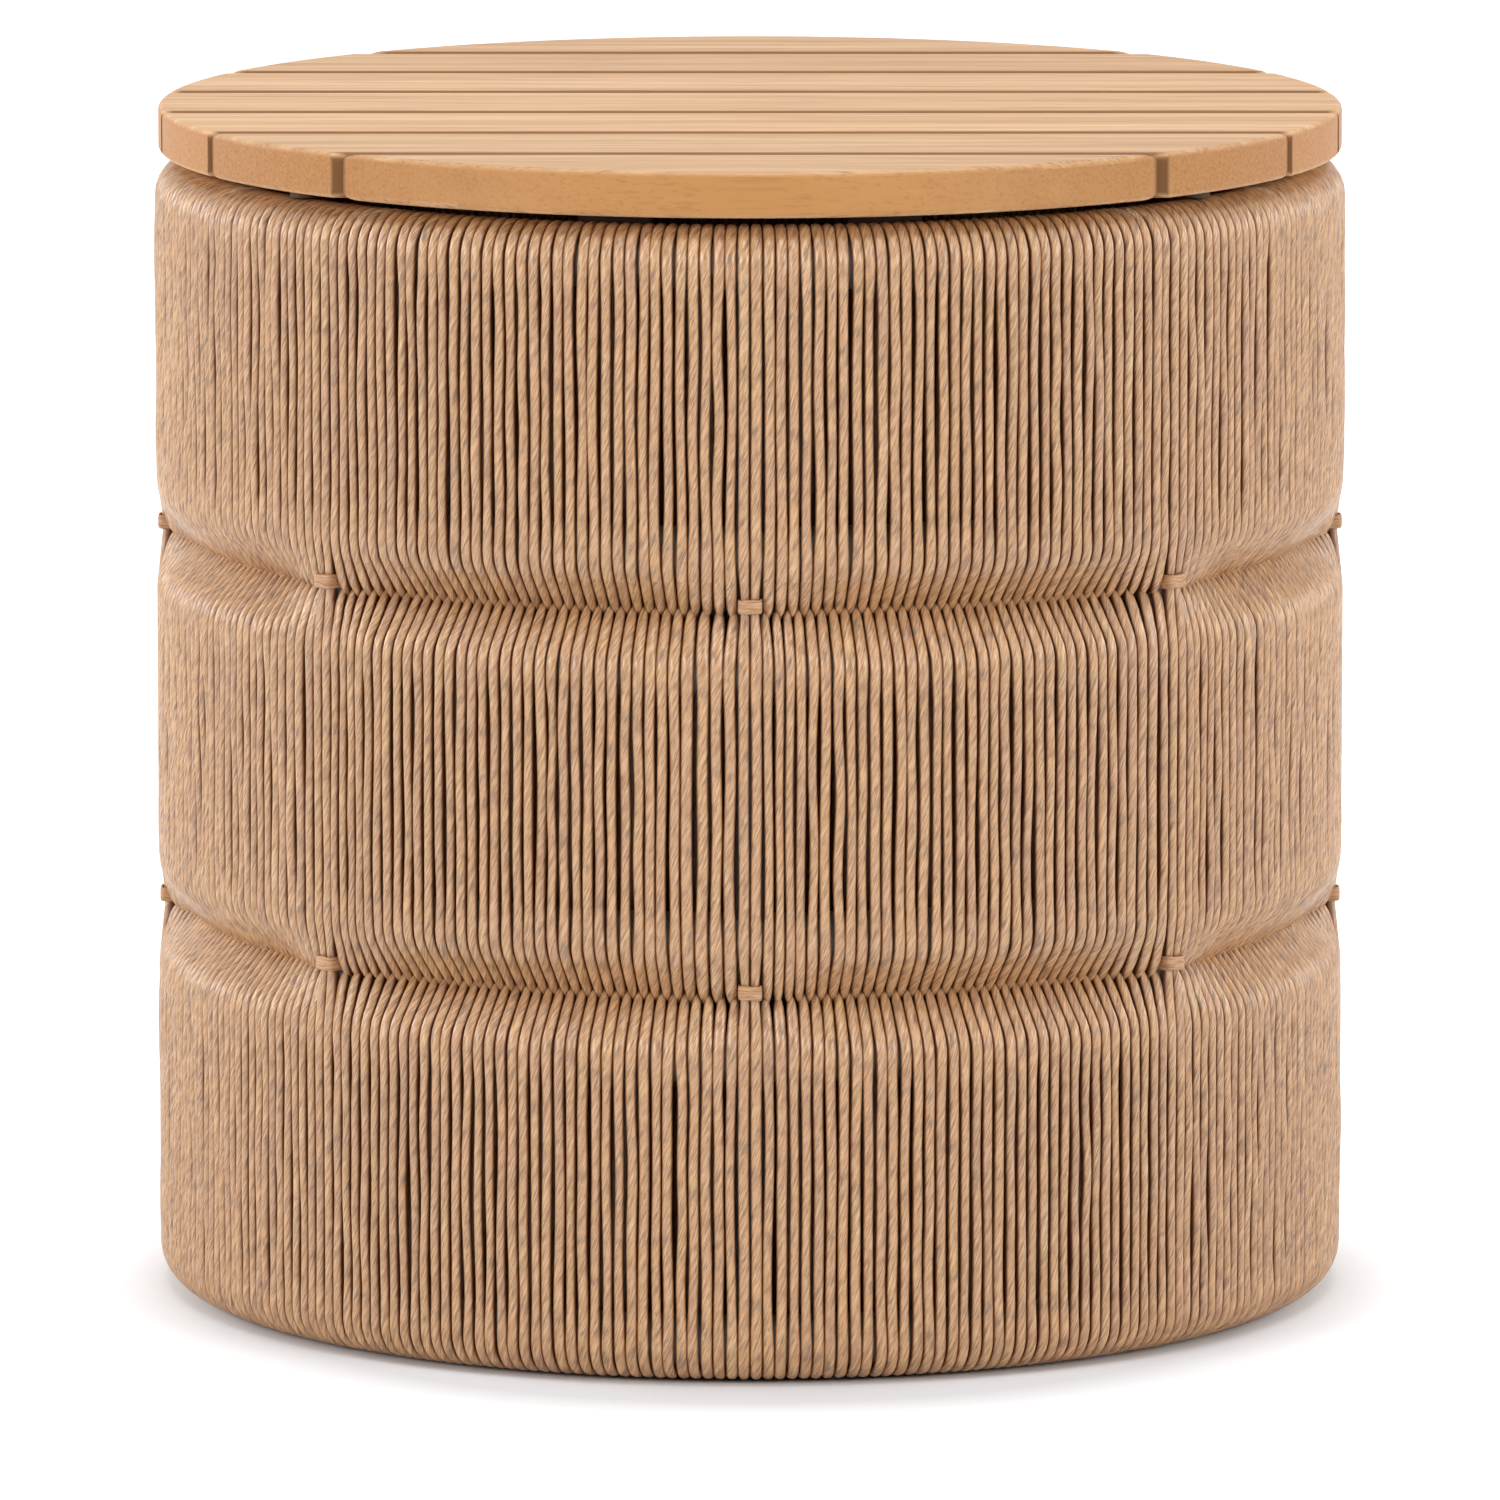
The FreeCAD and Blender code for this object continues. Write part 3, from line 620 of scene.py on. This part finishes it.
# Oil and dust darken the slats' rounded edges along the gaps, from 1.5 to 5 mm in from the rim, with painted
# shade of the gaps
level = add(tree, "VectorMath", {"operation": "MULTIPLY", 1: (1, 1, 0)}, _0=spot)
from_axis = add(tree, "VectorMath", {"operation": "LENGTH"}, _0=level.outputs[0])
within = add(tree, "MapRange", {"From Min": lid_radius - 1.5 * MM, "From Max": lid_radius - 5 * MM},
             Value=from_axis.outputs["Value"])
turned = add(tree, "SeparateXYZ", _0=add(tree, "NewGeometry").outputs["Normal"]).outputs["Y"]
leaning = add(tree, "Math", {"operation": "ABSOLUTE"}, _0=turned).outputs[0]
edges = add(tree, "MapRange", {"From Min": 0.15, "From Max": 0.5}, Value=leaning)
dust_and_painted_shade = add(tree, "Math", {"operation": "MULTIPLY"},
            _0=within.outputs["Result"], _1=edges.outputs["Result"])
# The slats' sides, 2 mm off the middle of a gap, are painted dark right out to the rim: painted shade in the
# gap, with oil and dust
breadth = add(tree, "SeparateXYZ", _0=spot).outputs["Y"]
from_middle = add(tree, "Math", {"operation": "PINGPONG", 1: slat_pitch / 2}, _0=breadth).outputs[0]
sides = add(tree, "MapRange", {"From Min": slat_pitch / 2 - 3.2 * MM,
                               "From Max": slat_pitch / 2 - 2.2 * MM}, Value=from_middle)
soil_and_painted_shade = add(tree, "Math", {"operation": "MAXIMUM"}, _0=dust_and_painted_shade.outputs[0], _1=sides.outputs["Result"])
gapped = add(tree, "Mix", {"data_type": "RGBA", 7: linear("#82552a")}, _0=soil_and_painted_shade.outputs[0], _6=wood)
# One pin knot near the front, on the edge of a board: a dark streak that fades out 34 mm
# from its middle along the board and 4.5 mm across
knot_place = (-21 * MM, -108 * MM, lid_top)
knot_half = (34 * MM, 4.5 * MM, 6 * MM)
knot_at = add(tree, "VectorMath", {"operation": "SUBTRACT", 1: knot_place}, _0=spot)
knot_share = add(tree, "VectorMath", {"operation": "DIVIDE", 1: knot_half}, _0=knot_at.outputs[0])
knot_reach = add(tree, "VectorMath", {"operation": "LENGTH"}, _0=knot_share.outputs[0])
knot = add(tree, "MapRange", {"From Min": 1.0, "From Max": 0.1, "To Max": 0.6},
           Value=knot_reach.outputs["Value"])
knotted = add(tree, "Mix", {"data_type": "RGBA", 7: linear("#8d5f3a")},
              _0=knot.outputs["Result"], _6=gapped.outputs[2])
tree.links.new(knotted.outputs[2], shader.inputs["Base Color"])
finish_nodes(slat_teak, *["lid_slat_%d" % number for number in range(1, 8)])


# Lid battens: two teak battens under the slats, their ends cut to follow the opening so
# that the lid can't slide off. They are painted dark, painted shade under the lid, so that the gaps look
# black.
batten_teak, tree, shader, wood = oiled_teak("teak_battens_painted_dark", "Y")
# Painted shade: the battens are darkened to the shade under the lid
painted_shade_dark = add(tree, "Mix", {"data_type": "RGBA", "blend_type": "MULTIPLY", 0: 1.0, 7: linear("#5c4a3b")},
              _6=wood)
tree.links.new(painted_shade_dark.outputs[2], shader.inputs["Base Color"])
finish_nodes(batten_teak, "lid_batten_left", "lid_batten_right")


# Screws: countersunk stainless screws that hold the slats to the battens and the storage
# floor to its bars.
# Turned and passivated stainless steel: bright but soft, with fine turning marks 0.4 mm apart
stainless, tree, shader = blank_material("turned_stainless_steel")
spot = add(tree, "TexCoord").outputs["Object"]
marks = add(tree, "TexNoise", {"Scale": 1 / (0.4 * MM), "Detail": 2.0}, Vector=spot)
gloss = add(tree, "MapRange", {"To Min": 0.25, "To Max": 0.42}, Value=marks.outputs["Fac"])
steel = add(tree, "ValToRGB", {"stops": [(0.3, "#a9a8a5"), (0.7, "#c3c2bf")]}, _0=marks.outputs["Fac"])
tree.links.new(steel.outputs["Color"], shader.inputs["Base Color"])
tree.links.new(gloss.outputs["Result"], shader.inputs["Roughness"])
shader.inputs["Metallic"].default_value = 1.0
finish_nodes(stainless, "batten_screws", "floor_panel_screws")


# Lid bumpers: four soft rubber discs pressed into the slats, which land on the wound rim
# and leave a thin dark gap under the lid.
# Moulded brown rubber: almost no gloss, dusted a shade lighter in patches about 4 mm across
rubber, tree, shader = blank_material("moulded_rubber")
spot = add(tree, "TexCoord").outputs["Object"]
dust = add(tree, "TexNoise", {"Scale": 1 / (4 * MM), "Detail": 3.0}, Vector=spot)
brown = add(tree, "ValToRGB", {"stops": [(0.35, "#4a3422"), (0.7, "#5c432d")]}, _0=dust.outputs["Fac"])
tree.links.new(brown.outputs["Color"], shader.inputs["Base Color"])
shader.inputs["Roughness"].default_value = 0.8
finish_nodes(rubber, "lid_bumpers")


# Camera: stands at the photograph's height and distance and looks at the middle of the
# drum through a long lens.
CAMERA_PLACE = Vector((0.0, -6.501, 1.256))
CAMERA_AIM = Vector((0.0, 0.0, 0.2245))
camera_data = bpy.data.cameras.new("photo_camera")
camera_data.lens = 374.1
camera_data.sensor_width = 36.0
camera_data.clip_end = 100.0
camera = bpy.data.objects.new("photo_camera", camera_data)
camera.location = CAMERA_PLACE
camera.rotation_mode = "QUATERNION"
camera.rotation_quaternion = (CAMERA_AIM - CAMERA_PLACE).to_track_quat("-Z", "Y")
bpy.context.collection.objects.link(camera)
bpy.context.scene.camera = camera


# White sweep: a broad floor of matt white paper that takes the drum's soft shadow. It
# glows to white for the camera, but not under the drum, where it would shine through, and less round the
# drum, most towards the camera: a painted shadow.
SWEEP_REACH = 40.0
corners = [(-SWEEP_REACH, -SWEEP_REACH, 0), (SWEEP_REACH, -SWEEP_REACH, 0),
           (SWEEP_REACH, SWEEP_REACH, 0), (-SWEEP_REACH, SWEEP_REACH, 0)]
floor_mesh = bpy.data.meshes.new("studio_floor")
floor_mesh.from_pydata(corners, [], [(0, 1, 2, 3)])
floor = bpy.data.objects.new("studio_floor", floor_mesh)
bpy.context.collection.objects.link(floor)
white_paper = bpy.data.materials.new("matt_white_paper")
white_paper.use_nodes = True
tree = white_paper.node_tree
tree.nodes.clear()
rays = add(tree, "LightPath").outputs
seen = add(tree, "Math", {"operation": "MAXIMUM"}, _0=rays["Is Camera Ray"], _1=rays["Is Glossy Ray"])
# The ground that doesn't glow, a painted shadow, is about as broad as the drum and lies 40 mm towards the
# camera. Beyond it the glow comes in steeply, a painted soft shadow, and then slowly, out to 1.6 m
ground = add(tree, "VectorMath", {"operation": "MULTIPLY_ADD", 1: (1.1, 1, 1), 2: (0, 40 * MM, 0)},
             _0=add(tree, "TexCoord").outputs["Object"])
from_axis = add(tree, "VectorMath", {"operation": "LENGTH"}, _0=ground.outputs[0]).outputs["Value"]
near_glow = add(tree, "MapRange", {"From Min": 0.24, "From Max": 0.32, "To Max": 0.62}, Value=from_axis)
far_glow = add(tree, "MapRange", {"From Min": 0.32, "From Max": 1.6, "To Max": 0.4}, Value=from_axis)
glow = add(tree, "Math", {"operation": "ADD"}, _0=near_glow.outputs["Result"], _1=far_glow.outputs["Result"])
shown = add(tree, "Math", {"operation": "MULTIPLY"}, _0=glow.outputs[0], _1=seen.outputs[0])
shine = add(tree, "Emission", {"Color": (1, 1, 1, 1)}, Strength=shown.outputs[0])
matt = add(tree, "BsdfDiffuse", {"Color": linear("#e7e9ed")})
both = add(tree, "AddShader", _0=shine.outputs[0], _1=matt.outputs[0])
tree.links.new(both.outputs[0], add(tree, "OutputMaterial").inputs["Surface"])
floor_mesh.materials.append(white_paper)


# Light tent: an even surround of white cloth, open towards the camera, with a broad soft
# box above, one on each side in front and a smaller one on each side behind.
SOFT_BOX_AIM = Vector((0, 0, 0.25))
SOFT_BOXES = (("top_soft_box", (0.0, -0.6, 2.6), 1.6, 29.0),
              ("left_soft_box", (-2.6, -2.0, 1.3), 1.4, 46.0),
              ("right_soft_box", (2.6, -2.0, 1.3), 1.4, 44.0),
              ("left_rear_box", (-2.4, 0.9, 1.1), 1.0, 20.0),
              ("right_rear_box", (2.4, 0.9, 1.1), 1.0, 14.0))
world = bpy.data.worlds.new("light_tent")
bpy.context.scene.world = world
world.use_nodes = True
tree = world.node_tree
tree.nodes.clear()
rays = add(tree, "LightPath").outputs
seen = add(tree, "Math", {"operation": "MAXIMUM"}, _0=rays["Is Camera Ray"], _1=rays["Is Glossy Ray"])
# Little light comes from the open side, though the camera and reflections see plain white
facing = add(tree, "SeparateXYZ", _0=add(tree, "TexCoord").outputs["Generated"]).outputs["Y"]
wall = add(tree, "MapRange", {"From Min": -0.95, "From Max": -0.3, "To Min": 0.05, "To Max": 0.3},
           Value=facing)
strength = add(tree, "Math", {"operation": "MAXIMUM"}, _0=wall.outputs["Result"], _1=seen.outputs[0])
sky = add(tree, "Background", {"Color": (1, 1, 1, 1)}, Strength=strength.outputs[0])
tree.links.new(sky.outputs[0], add(tree, "OutputWorld").inputs["Surface"])
for name, place, size, watts in SOFT_BOXES:
    lamp = bpy.data.lights.new(name, "AREA")
    lamp.shape = "SQUARE"
    lamp.size = size
    lamp.energy = watts
    soft_box = bpy.data.objects.new(name, lamp)
    soft_box.location = place
    soft_box.rotation_mode = "QUATERNION"
    soft_box.rotation_quaternion = (SOFT_BOX_AIM - Vector(place)).to_track_quat("-Z", "Y")
    soft_box.visible_camera = False
    bpy.context.collection.objects.link(soft_box)

bpy.context.scene.view_settings.view_transform = "Standard"
